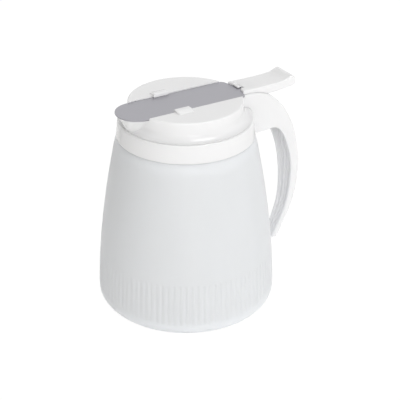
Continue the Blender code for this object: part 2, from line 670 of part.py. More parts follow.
def make_spring():
    start = LEG_REAR + GAP + SPRING_WIRE
    end = SPRING_SEAT - GAP - SPRING_WIRE
    steps = SPRING_TURNS * 14
    sections = []
    for i in range(steps + 1):
        part = i / steps
        angle = 2 * math.pi * SPRING_TURNS * part
        out = Vector((0.0, math.cos(angle), math.sin(angle)))
        along = Vector((1.0, 0.0, 0.0))
        centre = Vector((start + (end - start) * part, 0.0, SPRING_Z)) + out * SPRING_RADIUS
        ring = [2 * math.pi * k / 6 for k in range(6)]
        sections.append([centre + (out * math.cos(a) + along * math.sin(a)) * SPRING_WIRE for a in ring])
    return loft("return_spring", sections, STEEL)


def main():
    for obj in list(bpy.data.objects):
        bpy.data.objects.remove(obj)
    root = bpy.data.objects.new("syrup_server", None)
    root.location = (AXIS_X, 0.0, 0.0)
    bpy.context.scene.collection.objects.link(root)
    pieces = [make_jar(), make_gasket(), make_collar(), make_lid(), make_handle(), make_gate(), make_lever()]
    pieces += [make_follower(), make_follower_screw(), make_spring()]
    pieces += [make_handle_screw(1, 1), make_handle_screw(2, -1)]
    for piece in pieces:
        piece.parent = root
    bpy.context.view_layer.update()


main()
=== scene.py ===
# %% [markdown]
# # A slide-gate syrup server
# A cloudy ribbed jar carries a white screw collar and a white lid. A steel gate lies in a channel across
# the lid and shuts the spout. A thumb lever over the handle pulls the gate back, and a spring inside the
# handle sends it home again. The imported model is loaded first, because every finished piece is fitted to
# it.

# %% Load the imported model
import math

import bmesh
import bpy
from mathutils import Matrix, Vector


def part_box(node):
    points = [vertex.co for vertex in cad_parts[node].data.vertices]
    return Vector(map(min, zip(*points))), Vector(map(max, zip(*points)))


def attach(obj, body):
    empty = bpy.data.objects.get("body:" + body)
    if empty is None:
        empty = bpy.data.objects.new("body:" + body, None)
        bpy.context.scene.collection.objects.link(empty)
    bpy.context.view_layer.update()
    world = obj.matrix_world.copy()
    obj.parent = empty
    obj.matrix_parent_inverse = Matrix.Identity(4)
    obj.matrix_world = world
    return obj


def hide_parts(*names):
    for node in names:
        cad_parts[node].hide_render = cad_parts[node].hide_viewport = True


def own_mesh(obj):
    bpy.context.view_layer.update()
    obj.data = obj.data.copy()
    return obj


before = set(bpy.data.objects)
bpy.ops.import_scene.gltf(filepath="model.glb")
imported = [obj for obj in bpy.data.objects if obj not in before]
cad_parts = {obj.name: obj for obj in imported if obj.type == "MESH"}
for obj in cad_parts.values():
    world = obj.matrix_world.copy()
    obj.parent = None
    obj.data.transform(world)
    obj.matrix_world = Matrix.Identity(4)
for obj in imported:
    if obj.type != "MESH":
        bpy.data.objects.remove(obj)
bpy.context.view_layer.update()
scene = bpy.context.scene
scene.view_settings.view_transform = "Standard"
print("packed nodes:", sorted(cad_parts))

# %% [markdown]
# The jar's axis isn't the middle of the whole object, because the handle reaches out on one side. All
# places below are counted from the jar's axis and the table, so one small function moves them into the
# model's frame. All sizes are in metres.

# %% Places counted from the jar's axis
jar_low, jar_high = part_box("jar")
axis_x = (jar_low[0] + jar_high[0]) / 2


def at(x, y, z):
    """A place counted from the jar's axis, in the model's frame."""
    return Vector((x + axis_x, y, z))


print("jar axis at x =", round(axis_x, 5))

# %% [markdown]
# Operators act on whatever is selected, so each step starts from a clear selection. Points and faces are
# then picked in code, by where they are or which way they look.

# %% Picking up pieces and parts of them


def let_go():
    """Leaves edit mode and selects nothing."""
    if bpy.context.object and bpy.context.object.mode != "OBJECT":
        bpy.ops.object.mode_set(mode="OBJECT")
    bpy.ops.object.select_all(action="DESELECT")


def take_up(piece):
    """Makes one piece the selected and active one."""
    let_go()
    piece.select_set(True)
    bpy.context.view_layer.objects.active = piece


def pick(test):
    """Selects the points of the piece in edit mode that pass the test."""
    bpy.ops.mesh.select_mode(type="VERT")
    bpy.ops.mesh.select_all(action="DESELECT")
    mesh = bpy.context.object.data
    bm = bmesh.from_edit_mesh(mesh)
    count = 0
    for vertex in bm.verts:
        if test(vertex):
            vertex.select_set(True)
            count += 1
    bm.select_flush_mode()
    bmesh.update_edit_mesh(mesh)
    return count


# %% [markdown]
# Most pieces of this server are turned: the jar, the collar, the lid, the gasket and the screws. A turned
# piece starts as one point that is extruded along its outline, and the outline is then spun once round
# its axis. It could also be lathed by a Screw modifier, but after a spin one merge of doubles closes both
# the seam and the poles.

# %% Turned pieces
seed_size, merge_distance, round_steps = 0.001, 2e-6, 192


def outline_chain(name, points):
    """A line of points, extruded from one to the next, left in edit mode."""
    let_go()
    bpy.ops.mesh.primitive_plane_add(size=seed_size, location=(0, 0, 0))
    piece = bpy.context.object
    piece.name = name
    bpy.ops.object.mode_set(mode="EDIT")
    bpy.ops.mesh.select_mode(type="VERT")
    bpy.ops.mesh.select_all(action="SELECT")
    bpy.ops.mesh.merge(type="CENTER")
    bpy.ops.transform.translate(value=points[0])
    for here, after in zip(points, points[1:]):
        bpy.ops.mesh.extrude_region_move(TRANSFORM_OT_translate={"value": after - here})
    return piece


def faced_outwards():
    """Selects all of the piece in edit mode, turns its faces outwards and leaves edit mode."""
    bpy.ops.mesh.select_all(action="SELECT")
    bpy.ops.mesh.normals_make_consistent(inside=False)
    bpy.ops.object.mode_set(mode="OBJECT")


def turned(name, outline, steps, centre=(0.0, 0.0, 0.0), axis=(0, 0, 1)):
    """Spins an outline of (radius, height) pairs once round an axis through centre."""
    along = Vector(axis)
    side = Vector((1, 0, 0)) if abs(along.x) < 0.5 else Vector((0, 0, 1))
    middle = at(*centre)
    piece = outline_chain(name, [middle + side * radius + along * height for radius, height in outline])
    bpy.ops.mesh.select_all(action="SELECT")
    bpy.ops.mesh.spin(steps=steps, angle=2 * math.pi, center=middle, axis=axis)
    bpy.ops.mesh.select_all(action="SELECT")
    bpy.ops.mesh.remove_doubles(threshold=merge_distance)
    faced_outwards()
    return piece


def bow(centre, radius, start, end, steps):
    """Points on an arc from one angle to the other, in degrees."""
    points = []
    for i in range(steps + 1):
        angle = math.radians(start + (end - start) * i / steps)
        points.append((centre[0] + radius * math.cos(angle), centre[1] + radius * math.sin(angle)))
    return points


# %% [markdown]
# The handle, the lever and the gate aren't turned. Each is one section that is extruded again and again,
# and the new end is laid out afresh each time, as a modeller drags a profile along a path. A curve with a
# bevel profile could do the same, but its section can't change shape on the way.

# %% Swept pieces


def swept(name, sections):
    """Extrudes a closed section through all the others, which have as many points."""
    let_go()
    bpy.ops.mesh.primitive_circle_add(
        vertices=len(sections[0]),
        radius=seed_size,
        fill_type="NGON",
        location=(0, 0, 0),
    )
    piece = bpy.context.object
    piece.name = name
    for vertex, place in zip(piece.data.vertices, sections[0]):
        vertex.co = place
    bpy.ops.object.mode_set(mode="EDIT")
    bpy.ops.mesh.select_all(action="SELECT")
    for before, after in zip(sections, sections[1:]):
        bpy.ops.mesh.extrude_region_move(TRANSFORM_OT_translate={"value": (0, 0, 0)})
        bm = bmesh.from_edit_mesh(piece.data)
        for vertex in [v for v in bm.verts if v.select]:
            nearest = min(range(len(before)), key=lambda k: (before[k] - vertex.co).length_squared)
            vertex.co = after[nearest]
        bmesh.update_edit_mesh(piece.data)
    faced_outwards()
    return piece


# %% [markdown]
# Holes, slots and bosses are cut out or joined on with the Boolean modifier, from tools that are thrown
# away afterwards. Rods and bricks are the tools that come up most. They could be drawn into the outlines
# by hand, but a tool can be moved later without drawing the piece again.

# %% Cutting and joining
rod_sides = 40


def shaped(piece, tool, operation="DIFFERENCE"):
    """Cuts a tool from a piece, or joins it on, and throws the tool away."""
    take_up(piece)
    step = piece.modifiers.new("shape", "BOOLEAN")
    step.operation = operation
    step.solver = "EXACT"
    step.object = tool
    bpy.ops.object.modifier_apply(modifier=step.name)
    bpy.data.objects.remove(tool)


def added(piece, other):
    """Makes another piece part of this one."""
    take_up(piece)
    other.select_set(True)
    bpy.ops.object.join()


def rod(start, end, radius, y, z):
    """A round rod along X, for holes and pins."""
    let_go()
    bpy.ops.mesh.primitive_cylinder_add(
        vertices=rod_sides,
        radius=radius,
        depth=end - start,
        location=at((start + end) / 2, y, z),
        rotation=(0, math.pi / 2, 0),
    )
    bpy.ops.object.transform_apply(location=True, rotation=True, scale=True)
    return bpy.context.object


def brick(low, high):
    """A box between two corners, for cutting or joining."""
    let_go()
    low, high = at(*low), at(*high)
    bpy.ops.mesh.primitive_cube_add(size=1, location=(low + high) / 2, scale=high - low)
    bpy.ops.object.transform_apply(location=True, rotation=True, scale=True)
    return bpy.context.object


# %% [markdown]
# A finished piece has slightly rounded edges, no gaps, smooth shading and one finish. Cutting can leave
# slivers with no area, so they are dissolved, and what opens is closed again. Smoothing every edge would
# be simpler, but wide flats would then look swollen.

# %% Finishing a piece
gap_sides, smooth_degrees = 8, 32


def eased(piece, width, degrees=40, segments=2):
    """Rounds the sharp edges of a piece a little."""
    take_up(piece)
    step = piece.modifiers.new("edges", "BEVEL")
    step.width = width
    step.segments = segments
    step.limit_method = "ANGLE"
    step.angle_limit = math.radians(degrees)
    bpy.ops.object.modifier_apply(modifier=step.name)


def closed(piece):
    """Takes out the slivers that cutting leaves, and closes the gaps they leave behind."""
    take_up(piece)
    bpy.ops.object.mode_set(mode="EDIT")
    bpy.ops.mesh.select_all(action="SELECT")
    bpy.ops.mesh.dissolve_degenerate(threshold=merge_distance)
    bpy.ops.mesh.select_all(action="SELECT")
    bpy.ops.mesh.fill_holes(sides=gap_sides)
    faced_outwards()


def settled(piece, body, finish, slot, *nodes):
    """Smooth shading that leaves wide flats flat, one finish, and the body that carries the piece."""
    take_up(piece)
    bpy.ops.object.shade_smooth_by_angle(angle=math.radians(smooth_degrees))
    step = piece.modifiers.new("shading", "WEIGHTED_NORMAL")
    step.keep_sharp = True
    bpy.ops.object.modifier_apply(modifier=step.name)
    piece.data.materials.clear()
    piece.data.materials.append(finish)
    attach(piece, body)
    if nodes:
        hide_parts(*nodes)
    print(piece.name, len(piece.data.polygons), "faces on", body)


# %% [markdown]
# Finishes are sums of noise and tints. Writing them as Python sums keeps them short: a Wire is one
# socket, and adding or multiplying wires adds the Math nodes that do it. One method adds every other
# node.

# %% Finishes written as sums


class Wire:
    """One output socket, on which shader sums are written as Python."""

    def __init__(self, tree, socket):
        self.tree = tree
        self.socket = socket

    def sum_with(self, operation, first, second):
        node = self.tree.nodes.new("ShaderNodeMath")
        node.operation = operation
        for place, value in zip(node.inputs, (first, second)):
            if isinstance(value, Wire):
                self.tree.links.new(value.socket, place)
            else:
                place.default_value = value
        return Wire(self.tree, node.outputs[0])

    def __add__(self, other):
        return self.sum_with("ADD", self, other)

    __radd__ = __add__

    def __sub__(self, other):
        return self.sum_with("SUBTRACT", self, other)

    def __rsub__(self, other):
        return self.sum_with("SUBTRACT", other, self)

    def __mul__(self, other):
        return self.sum_with("MULTIPLY", self, other)

    __rmul__ = __mul__

    def at_least(self, other):
        return self.sum_with("MAXIMUM", self, other)

    def at_most(self, other):
        return self.sum_with("MINIMUM", self, other)


class Nodes:
    """An emptied node tree, to which one method adds every node."""

    def __init__(self, tree):
        self.tree = tree
        tree.nodes.clear()

    def node(self, kind, settings=None, sockets=None, out=0):
        node = self.tree.nodes.new(kind)
        for key, value in (settings or {}).items():
            setattr(node, key, value)
        for key, value in (sockets or {}).items():
            if isinstance(value, Wire):
                self.tree.links.new(value.socket, node.inputs[key])
            else:
                node.inputs[key].default_value = value
        return Wire(self.tree, node.outputs[out]) if node.outputs else None

    def rays(self, *kinds):
        """One on rays of any of these kinds, as Light Path names them, and nothing on others."""
        return sum(self.node("ShaderNodeLightPath", out=f"Is {kind} Ray") for kind in kinds)

    def tinted(self, amount, low, high):
        return self.node("ShaderNodeMix", {"data_type": "RGBA"}, {0: amount, 6: low, 7: high}, out=2)


class Finish(Nodes):
    """A material, with the patterns that this server's finishes need."""

    def __init__(self, name):
        self.material = bpy.data.materials.new(name)
        self.material.use_nodes = True
        super().__init__(self.material.node_tree)

    def noise(self, scale, detail=2.0, stretch=(1, 1, 1)):
        place = self.node("ShaderNodeTexCoord", out="Object")
        moved = self.node("ShaderNodeMapping", None, {"Vector": place, "Scale": stretch})
        return self.node("ShaderNodeTexNoise", None, {"Vector": moved, "Scale": scale, "Detail": detail})

    def bump(self, height, strength, distance):
        sockets = {"Height": height, "Strength": strength, "Distance": distance}
        return self.node("ShaderNodeBump", None, sockets)

    def surface(self, kind, sockets):
        """Ends the material with one shader, and prints its name."""
        self.node("ShaderNodeOutputMaterial", None, {"Surface": self.node(kind, None, sockets)})
        print("finish:", self.material.name)
        return self.material


# %% [markdown]
# The camera stands in front, a little to the spout's side and above. Its place comes from fitting the
# ellipses of the lid, the collar and the foot in the photograph, which also gives the long lens and the
# small shift.

# %% Camera
camera_place, camera_aim = (-0.3233, -0.5646, 0.4435), (0, 0, 0.0762)
camera_roll, camera_shift, nearest_seen = -0.0027, 0.0354, 0.05
film_width, lens_length = 36.0, 90.20

let_go()
bpy.ops.object.camera_add(location=at(*camera_place))
camera = bpy.context.object
camera.name = "camera"
look = at(*camera_aim) - camera.location
camera.rotation_euler = look.to_track_quat("-Z", "Y").to_euler()
camera.rotation_euler.rotate_axis("Z", camera_roll)
camera.data.sensor_width = film_width
camera.data.lens = lens_length
camera.data.shift_x = camera_shift
camera.data.clip_start = nearest_seen
scene.camera = camera
print("camera", [round(v, 4) for v in camera.location])

# %% [markdown]
# The photograph is a white cut-out with soft light all round. The floor is white to the camera and keeps
# a faint shadow. It is mixed from a matt white and a glow that only camera and gloss see. A dark flag, as
# photographers use, stands out of sight on the far left, so that the jar falls off to that side.

# %% Floor and flag
floor_size, floor_glow, glow_share = 6, 1.05, 0.9
flag_place, flag_aim, flag_size = (-0.55, 0.36, 0.24), (0, 0, 0.1), (0.8, 0.46, 1)

let_go()
bpy.ops.mesh.primitive_plane_add(size=floor_size, location=(0, 0, 0))
floor = bpy.context.object
floor.name = "studio_floor"
studio_white = Finish("studio_white")
matt = studio_white.node("ShaderNodeBsdfDiffuse", None, {"Color": (0.97, 0.966, 0.958, 1)})
glow = studio_white.node("ShaderNodeEmission", None, {"Color": (1, 1, 1, 1), "Strength": floor_glow})
seen = studio_white.rays("Camera", "Glossy")
floor.data.materials.append(
    studio_white.surface("ShaderNodeMixShader", {0: seen * glow_share, 1: matt, 2: glow})
)

let_go()
bpy.ops.mesh.primitive_plane_add(size=1, location=at(*flag_place))
flag = bpy.context.object
flag.name = "dark_flag"
flag.scale = flag_size
flag.rotation_euler = (at(*flag_aim) - flag.location).to_track_quat("Z", "Y").to_euler()
bpy.ops.object.transform_apply(location=True, rotation=True, scale=True)
flag.visible_camera = False
flag.visible_shadow = False
dark_cloth = Finish("dark_cloth")
flag.data.materials.append(dark_cloth.surface("ShaderNodeBsdfDiffuse", {"Color": (0.05, 0.045, 0.04, 1)}))

# %% [markdown]
# The world is white to the camera, to gloss and through clear matter. As a light it is a little dimmer,
# and dimmer and warmer still from the left, where the photograph's whites go warm. A picture of a studio
# could light it too, but a few sums are easier to match to a photograph.

# %% World
world_level, dim_start, dim_share = 0.845, 0.1, 0.50
left_x, left_y = -0.90, 0.43
plain_white, warm_white = (1, 1, 1, 1), (1.0, 0.95, 0.86, 1)

world = bpy.data.worlds.new("studio")
world.use_nodes = True
scene.world = world
sky = Nodes(world.node_tree)
white_out = sky.rays("Camera", "Glossy", "Transmission").at_most(1.0)
facing = sky.node("ShaderNodeTexCoord", out="Generated")
facing_x = sky.node("ShaderNodeSeparateXYZ", None, {0: facing}, out="X")
facing_y = sky.node("ShaderNodeSeparateXYZ", None, {0: facing}, out="Y")
leftwards = facing_x * left_x + facing_y * left_y
shade = (leftwards - dim_start).at_least(0.0) * dim_share
strength = (world_level - shade).at_least(white_out)
colour = sky.tinted(shade * (1 - white_out), plain_white, warm_white)
light = sky.node("ShaderNodeBackground", None, {"Color": colour, "Strength": strength})
sky.node("ShaderNodeOutputWorld", None, {"Surface": light})
print("world set")

# %% [markdown]
# Four soft lamps light the server from above, in front and both sides. A soft box overhead shows only in
# the gloss, as the bright band on the lid's cove.

# %% Lamps


def soft_lamp(name, place, aim_z, size, power):
    """A round area lamp, pointed at a height on the jar's axis."""
    let_go()
    bpy.ops.object.light_add(type="AREA", location=at(*place))
    lamp = bpy.context.object
    lamp.name = name
    lamp.data.shape = "DISK"
    lamp.data.size = size
    lamp.data.energy = power
    lamp.rotation_euler = (at(0, 0, aim_z) - lamp.location).to_track_quat("-Z", "Y").to_euler()
    return lamp


soft_lamp("lamp_over", (0.1, 0.1, 1.3), 0.08, 1.0, 0.7)
soft_lamp("lamp_front", (-0.35, -1.15, 0.7), 0.10, 0.6, 2.9)
soft_box = soft_lamp("soft_box", (0.30, -0.30, 1.4), 0.14, 0.6, 6.5)
soft_box.visible_diffuse = False
soft_lamp("lamp_left", (-0.70, -0.98, 0.45), 0.08, 1.0, 1.7)
soft_lamp("lamp_right", (0.9, -0.8, 0.5), 0.08, 0.8, 0.6)
print("lamps set")

# %% [markdown]
# The white parts are moulded plastic with a soft gloss. A wide, very weak noise keeps the white from
# being dead flat, and a fine one gives the skin of a moulding, too small to see as pattern. A single
# colour would do from afar, but up close it looks like paint.

# %% White moulded plastic
white = Finish("white_moulding")
cloud = white.noise(28.0)
skin = white.noise(900.0)
white_plastic = white.surface(
    "ShaderNodeBsdfPrincipled",
    {
        "Base Color": white.tinted(cloud, (0.832, 0.832, 0.836, 1), (0.866, 0.866, 0.870, 1)),
        "Roughness": 0.11 + cloud * 0.06,
        "Normal": white.bump(skin, 0.04, 0.0004),
        "Subsurface Weight": 0.3,
        "Subsurface Radius": (0.004, 0.004, 0.004),
        "Subsurface Scale": 1.0,
        "Specular IOR Level": 0.45,
    },
)

# %% [markdown]
# The jar is blown from natural polyethylene, which is cloudy: light soaks in and comes out nearby. Its
# skin is satin, with faint upright streaks from the drawn tube that it was blown from. It could be made
# as clear plastic with a fog inside, but scattering under the surface looks the same at this thickness
# and renders with less grain.

# %% Cloudy jar plastic
cloudy = Finish("cloudy_polyethylene")
streak = cloudy.noise(60.0, 3.0, (1, 1, 0.06))
mottle = cloudy.noise(35.0)
grain = cloudy.noise(1200.0)
haze = streak * 0.6 + mottle * 0.4
cloudy_plastic = cloudy.surface(
    "ShaderNodeBsdfPrincipled",
    {
        "Base Color": cloudy.tinted(haze, (0.796, 0.82, 0.855, 1), (0.846, 0.87, 0.905, 1)),
        "Roughness": 0.34 + mottle * 0.08,
        "Normal": cloudy.bump(grain * 0.4 + streak * 0.6, 0.05, 0.0005),
        "Subsurface Weight": 0.55,
        "Subsurface Radius": (0.010, 0.010, 0.0105),
        "Subsurface Scale": 1.0,
        "IOR": 1.5,
    },
)

# %% [markdown]
# The gate is thin stainless sheet. Its rolling lines run along it, so the noise is stretched far along X,
# and they show in the gloss more than in the colour. The spring and the screws are of brighter steel with
# no grain to one side, and the seal is a dull, pale rubber. An anisotropic gloss could draw the lines out
# too, but noise can be baked into a picture for other programs.

# %% Brushed steel, bright wire and pale rubber


def metal(name, colour, lines, stretch):
    """A steel whose fine lines darken it a little and roughen its gloss."""
    made = Finish(name)
    line = made.noise(lines, 3.0, stretch)
    wide = made.noise(25.0)
    dark = tuple(0.9 * part for part in colour)
    return made.surface(
        "ShaderNodeBsdfPrincipled",
        {
            "Base Color": made.tinted(line * 0.6 + wide * 0.4, dark + (1,), colour + (1,)),
            "Roughness": 0.26 + line * 0.16,
            "Normal": made.bump(line, 0.05, 0.0003),
            "Metallic": 1.0,
        },
    )


sheet_steel = metal("rolled_sheet_steel", (0.405, 0.400, 0.430), 900.0, (0.03, 1, 1))
bright_steel = metal("bright_wire_steel", (0.58, 0.58, 0.60), 700.0, (1, 1, 1))

rubber = Finish("pale_rubber")
dust = rubber.noise(300.0, 3.0)
pale_rubber = rubber.surface(
    "ShaderNodeBsdfPrincipled",
    {
        "Base Color": rubber.tinted(dust, (0.60, 0.59, 0.55, 1), (0.68, 0.67, 0.63, 1)),
        "Roughness": 0.55 + dust * 0.15,
        "Normal": rubber.bump(dust, 0.1, 0.0003),
    },
)

# %% [markdown]
# The jar's side is one long curve from the foot to the shoulder, where it turns in to meet the collar. It
# stands on a ring round a hollow base. Inside and outside are one outline, so that the wall is closed at
# the rim. A Solidify modifier could thicken a single skin instead, but the jar's wall isn't the same all
# over.

# %% Jar's outline
jar_radius, jar_taper, jar_bend = 0.06699, 0.0167, 1.685
shoulder_z, shoulder_round, rim_z = 0.1316, 0.0005, 0.1388
turn_in, turn_in_height = 0.0004, 0.0100
neck_radius, neck_round, rim_round = 0.0456, 0.0008, 0.0006
jar_wall, side_wall, base_floor = 0.0020, 0.0026, 0.0045
foot_round, foot_ring, base_hollow = 0.0070, 0.005, 0.0025
rib_low, rib_high, rib_ease, rib_rest = 0.0111, 0.0408, 0.0012, 0.0022


def jar_side(z):
    """The jar's outside radius at a height."""
    rise = max(0.0, (z - foot_round / 2) / (shoulder_z - foot_round / 2))
    return jar_radius - jar_taper * rise**jar_bend


def jar_skin(z):
    """The jar's side, which turns in a little more just under the shoulder."""
    above = max(0.0, z - shoulder_z + turn_in_height)
    return jar_side(z) - turn_in * (above / turn_in_height) ** 2


foot = bow((jar_side(foot_round) - foot_round, foot_round), foot_round, -90, 0, 8)
ring = foot[0][0] - foot_ring
jar_line = [(0.0, base_hollow), (ring - 0.004, base_hollow), (ring - 0.0012, 0.0006), (ring, 0.0)] + foot
rib_rows = [rib_low - rib_rest, rib_low - rib_ease, rib_low, rib_low + rib_ease]
rib_rows += [rib_low + (rib_high - rib_low) * i / 6 for i in range(1, 6)]
rib_rows += [rib_high - rib_ease, rib_high, rib_high + rib_ease, rib_high + rib_rest]
jar_line += [(jar_side(z), z) for z in rib_rows]
turn_low = shoulder_z - turn_in_height
climb = [rib_rows[-1] + (turn_low - rib_rows[-1]) * i / 12 for i in range(1, 13)]
climb += [shoulder_z - turn_in_height * share for share in (0.75, 0.5, 0.3)]
jar_line += [(jar_skin(z), z) for z in climb]
shoulder_low = shoulder_z - shoulder_round
jar_line += bow((jar_skin(shoulder_low) - shoulder_round, shoulder_low), shoulder_round, 0, 82, 6)
jar_line += [(neck_radius + neck_round, shoulder_z), (neck_radius, shoulder_z + neck_round)]
mouth = neck_radius - jar_wall
jar_line += [(neck_radius, rim_z - rim_round), (neck_radius - rim_round, rim_z)]
jar_line += [(mouth + rim_round, rim_z), (mouth, rim_z - rim_round), (mouth, shoulder_z - jar_wall)]
jar_line += [(jar_side(z) - side_wall, z) for z in (0.122, 0.110, 0.095, 0.08, 0.06, 0.04, 0.02, 0.011)]
jar_line += [(ring + 0.004, base_floor + 0.0013), (ring, base_floor + 0.0002), (0.0, base_floor)]
print("jar outline of", len(jar_line), "points")

# %% [markdown]
# The jar's ribs stand between upright flutes round the foot. They are pressed in after the spin: of every
# six columns of points between two heights, three are drawn towards the axis, and the middle one of them
# twice. Ninety-six cutters would do it too, but they would break the clean columns of faces.

# %% Jar with its flutes
rib_count, rib_columns = 96, 6
flute_step, skin_depth = 0.00021, 0.0015
jar = turned("jar_shell", jar_line, rib_count * rib_columns)


def in_flute(first_row, last_row, columns):
    """A test for the outside points of these columns, between two rows."""

    def test(vertex):
        x, y, z = vertex.co.x - axis_x, vertex.co.y, vertex.co.z
        if not rib_rows[first_row] - 1e-5 < z < rib_rows[last_row] + 1e-5:
            return False
        if math.hypot(x, y) < jar_side(z) - skin_depth:
            return False
        column = round(math.atan2(y, x) / (2 * math.pi) * rib_count * rib_columns)
        return column % rib_columns in columns

    return test


take_up(jar)
bpy.ops.object.mode_set(mode="EDIT")
drawn = 1 - flute_step / jar_radius
for flute in (in_flute(1, -2, (0,)), in_flute(2, -3, (0, 1, 5))):
    print("flute points drawn in:", pick(flute))
    bpy.ops.transform.resize(value=(drawn, drawn, 1), center_override=at(0, 0, 0))
bpy.ops.object.mode_set(mode="OBJECT")

# %% [markdown]
# The neck's thread is hidden until the lid is lifted off. A small ridge is wound round the neck by a
# Screw modifier and joined to the jar. The collar's thread comes from the same ridge later. A spin could
# climb too, but the modifier states its turns and its rise as plain numbers.

# %% Thread on the jar's neck
thread_turns, thread_rise, thread_steps = 1.4, 0.0030, 144
ridge = ((-0.0005, 0.0), (0.0003, 0.0004), (0.0003, 0.0008), (-0.0005, 0.0012))
neck_thread_z = 0.1323


def wound(name, outline):
    """A small closed outline of (radius, height) wound up round the jar's axis."""
    piece = outline_chain(name, [Vector((radius, 0, height)) for radius, height in outline])
    bpy.ops.mesh.select_all(action="SELECT")
    bpy.ops.mesh.edge_face_add()
    bpy.ops.mesh.delete(type="ONLY_FACE")
    bpy.ops.object.mode_set(mode="OBJECT")
    step = piece.modifiers.new("wind", "SCREW")
    step.angle = 2 * math.pi * thread_turns
    step.screw_offset = thread_rise * thread_turns
    step.steps = thread_steps
    step.render_steps = thread_steps
    step.use_merge_vertices = False
    bpy.ops.object.modifier_apply(modifier=step.name)
    bpy.ops.object.mode_set(mode="EDIT")
    bpy.ops.mesh.select_all(action="SELECT")
    bpy.ops.mesh.fill_holes(sides=0)
    bpy.ops.mesh.select_all(action="SELECT")
    bpy.ops.transform.translate(value=at(0, 0, 0))
    faced_outwards()
    return piece


added(jar, wound("jar_thread", [(neck_radius + out, neck_thread_z + up) for out, up in ridge]))
settled(jar, "jar", cloudy_plastic, "jar_plastic", "jar")

# %% [markdown]
# The collar is a plain band with a little draft. It turns under the lid's cove and screws down on the
# jar. A thread runs round inside it, and on the spout's side its mould has left a fine upright line. The
# band is one turned outline, and the thread and the line are joined on, since they are all that breaks
# its roundness.

# %% Screw collar
collar_low, collar_top = shoulder_z + 0.0001, shoulder_z + 0.0132
collar_bore, collar_lip, lip_height = 0.0462, 0.0445, 0.002
collar_foot, collar_head, collar_round, collar_edge = 0.0500, 0.0488, 0.0010, 0.0002
collar_thread_z, thread_bite = 0.1332, 0.0001
line_degrees, line_foot, line_head, line_height, line_sunk = 173, 0.0003, 0.0001, 0.00006, 0.0004
round_low = collar_top - collar_round
round_centre = (collar_head - collar_round, round_low)

band = [(collar_bore, collar_low), (collar_foot - collar_edge, collar_low)]
band += [(collar_foot, collar_low + collar_edge), (collar_head, round_low)]
band += bow(round_centre, collar_round, 10, 90, 5) + [(collar_lip, collar_top)]
band += [(collar_lip, collar_top - lip_height), (collar_bore, collar_top - lip_height), band[0]]
collar = turned("collar_band", band, round_steps)
thread_radius = collar_bore + thread_bite
added(collar, wound("collar_thread", [(thread_radius - out, collar_thread_z + up) for out, up in ridge]))

line_angle = math.radians(line_degrees)
outwards = Vector((math.cos(line_angle), math.sin(line_angle), 0))
beside = Vector((-outwards.y, outwards.x, 0))
line_corners = ((-line_foot, -line_sunk), (line_foot, -line_sunk))
line_corners += ((line_head, line_height), (-line_head, line_height))
line_ends = []
for radius, z in ((collar_foot, collar_low + 0.0005), (collar_head, round_low - 0.0001)):
    on_band = at(0, 0, z) + outwards * radius
    line_ends.append([on_band + beside * side + outwards * out for side, out in line_corners])
added(collar, swept("parting_line", line_ends))
settled(collar, "collar", white_plastic, "white_plastic", "screw_collar")

# %% [markdown]
# The lid is a turned shell with a flat disc and a cove that sweeps out over the collar. Below the
# collar's lip it has a flange that presses the seal on the jar's rim. A disc, a cove and a skirt could be
# joined instead, but one outline has no seams to hide.

# %% Lid's shell
lid_radius, lid_wall, lid_skin = 0.04115, 0.0413, 0.0025
lid_top, channel_depth = collar_top + 0.0133, 0.0020
floor_z = lid_top - channel_depth
ceiling = floor_z - lid_skin
cove_low, cove_rim, cove_round, cove_lead = collar_top + 0.0001, 0.0006, 0.0061, 0.0003
cove_centre = (lid_wall + cove_round, cove_low + cove_rim + cove_round)
lid_inside, lid_ease = lid_radius - lid_skin, 0.001
skirt_bore, waist, flange_radius, flange_height = 0.0417, 0.0442, 0.0453, 0.0016
flange_low = rim_z + 0.0021
flange_top = flange_low + flange_height

lid_line = [(0.0, ceiling), (lid_inside - lid_ease, ceiling), (lid_inside, ceiling - lid_ease)]
lid_line += [(lid_inside, collar_top + cove_round), (skirt_bore, collar_top + cove_rim)]
lid_line += [(skirt_bore, flange_low), (flange_radius, flange_low), (flange_radius, flange_top)]
lid_line += [(waist, flange_top), (waist, cove_low), (cove_centre[0] - cove_lead, cove_low)]
lid_line += bow(cove_centre, cove_round, 270, 180, 14)
lid_line += bow((lid_radius - lid_ease, lid_top - lid_ease), lid_ease, 0, 90, 6) + [(0.0, lid_top)]
lid = turned("lid_shell", lid_line, round_steps)
print("lid's disc at", round(lid_top, 4))

# %% [markdown]
# A leaning cone makes the spout, and a flat channel is cut across the disc for the gate. Two lugs reach
# over the channel's edges to hold the gate down. A second cone, a wall smaller, is then cut from the
# spout, and the handle's screws get their ways. The spout could be lofted between two circles, but a cone
# whose top is moved over is one step.

# %% Spout, channel and lugs
channel_half, beyond, above = 0.0163, 0.07, 0.01
spout_top = (-0.03782, floor_z + 0.00107)
lug_stand, lug_height, lug_under, lug_root = 0.0170, 0.0017, 0.0008, 0.0012
lug_inside, lug_outside = 0.0144, 0.0220
lug_draw_in, lug_draw_out = 0.0009, 0.0030
lug_rounding = ((-0.0175, 0.72), (-0.0172, 0.86), (-0.0168, 1.0))
lug_rounding += ((-0.0062, 1.0), (-0.0058, 0.86), (-0.0055, 0.72))
spout_sides = 96
spout_outside = (-0.0398, collar_top + cove_rim, 0.0076, 0.01486)
spout_inside = (-0.03951, collar_top + 0.00231, 0.00666, 0.01286)


